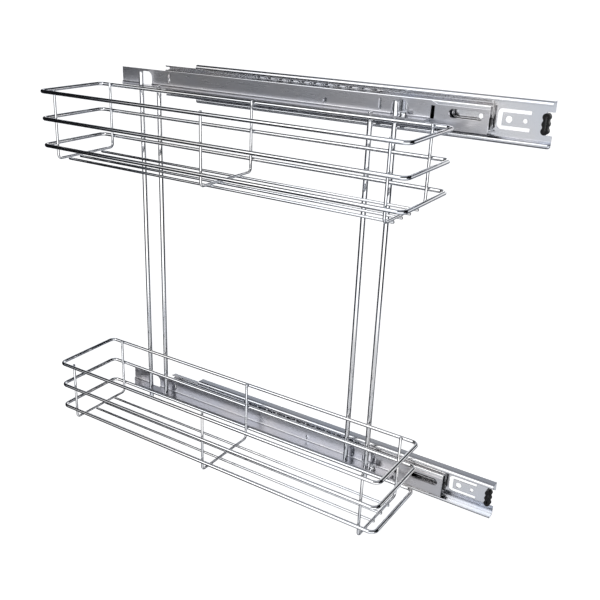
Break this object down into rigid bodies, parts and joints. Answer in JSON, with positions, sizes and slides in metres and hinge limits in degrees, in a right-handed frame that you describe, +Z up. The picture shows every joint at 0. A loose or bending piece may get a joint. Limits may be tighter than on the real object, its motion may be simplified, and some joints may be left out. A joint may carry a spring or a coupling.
{
  "type": "pull out cabinet basket",
  "caption": "Two tier pull out wire basket for a narrow kitchen cabinet, on two ball bearing runners that screw to one side wall.",
  "frame": {"origin": "on the cabinet's side wall, at the centre of the four screw holes of the two runners", "axes": "+X away from the wall, to the baskets; +Y to the cabinet's rear, so the baskets pull out along -Y; +Z up"},
  "size_m": [0.1381, 0.6059, 0.5049],
  "materials": {
    "runner_steel": "satin",
    "bracket_steel": "satin",
    "chrome_wire": "polished",
    "cage_steel": "satin",
    "ball_steel": "polished",
    "screw_steel": "polished",
    "black_rubber": "matte",
    "black_plastic": "matte"
  },
  "bodies": {
    "frame": {"upper_outer_rail": "runner_steel", "upper_rear_bumper": "black_rubber", "lower_outer_rail": "runner_steel", "lower_rear_bumper": "black_rubber"},
    "upper_middle": {"upper_middle_rail": "runner_steel", "upper_middle_end_stop": "black_plastic"},
    "lower_middle": {"lower_middle_rail": "runner_steel", "lower_middle_end_stop": "black_plastic"},
    "carriage": {"upper_inner_rail": "runner_steel", "upper_bracket": "bracket_steel", "upper_clamp_screw": "screw_steel", "lower_inner_rail": "runner_steel", "lower_bracket": "bracket_steel", "lower_clamp_screw": "screw_steel", "front_outer_upright": "chrome_wire", "front_inner_upright": "chrome_wire", "rear_inner_upright": "chrome_wire", "rear_outer_upright": "chrome_wire", "upper_basket_top_ring": "chrome_wire", "upper_basket_middle_ring": "chrome_wire", "upper_basket_bottom_ring": "chrome_wire", "upper_basket_cross_wires": "chrome_wire", "upper_basket_floor_wires": "chrome_wire", "lower_basket_top_ring": "chrome_wire", "lower_basket_middle_ring": "chrome_wire", "lower_basket_bottom_ring": "chrome_wire", "lower_basket_cross_wires": "chrome_wire", "lower_basket_floor_wires": "chrome_wire"},
    "upper_outer_cage": {"upper_outer_cage": "cage_steel", "upper_outer_balls": "ball_steel"},
    "lower_outer_cage": {"lower_outer_cage": "cage_steel", "lower_outer_balls": "ball_steel"},
    "upper_inner_cage": {"upper_inner_cage": "cage_steel", "upper_inner_balls": "ball_steel"},
    "lower_inner_cage": {"lower_inner_cage": "cage_steel", "lower_inner_balls": "ball_steel"}
  },
  "joints": [
    {"name": "upper_middle_slide", "type": "slide", "parent": "frame", "child": "upper_middle", "axis": [0, -1, 0], "range_m": [-0.051, 0.168]},
    {"name": "lower_middle_slide", "type": "slide", "parent": "frame", "child": "lower_middle", "axis": [0, -1, 0], "range_m": [-0.051, 0.168]},
    {"name": "carriage_slide", "type": "slide", "parent": "upper_middle", "child": "carriage", "axis": [0, -1, 0], "range_m": [0, 0.219]},
    {"name": "upper_outer_cage_slide", "type": "slide", "parent": "frame", "child": "upper_outer_cage", "axis": [0, -1, 0], "range_m": [-0.0255, 0.084]},
    {"name": "lower_outer_cage_slide", "type": "slide", "parent": "frame", "child": "lower_outer_cage", "axis": [0, -1, 0], "range_m": [-0.0255, 0.084]},
    {"name": "upper_inner_cage_slide", "type": "slide", "parent": "upper_middle", "child": "upper_inner_cage", "axis": [0, -1, 0], "range_m": [0, 0.1095]},
    {"name": "lower_inner_cage_slide", "type": "slide", "parent": "lower_middle", "child": "lower_inner_cage", "axis": [0, -1, 0], "range_m": [0, 0.1095]}
  ],
  "couplings": [
    {"joint": "lower_middle_slide", "follows": "upper_middle_slide", "ratio": 1},
    {"joint": "upper_outer_cage_slide", "follows": "upper_middle_slide", "ratio": 0.5},
    {"joint": "lower_outer_cage_slide", "follows": "upper_middle_slide", "ratio": 0.5},
    {"joint": "upper_inner_cage_slide", "follows": "carriage_slide", "ratio": 0.5},
    {"joint": "lower_inner_cage_slide", "follows": "carriage_slide", "ratio": 0.5}
  ]
}
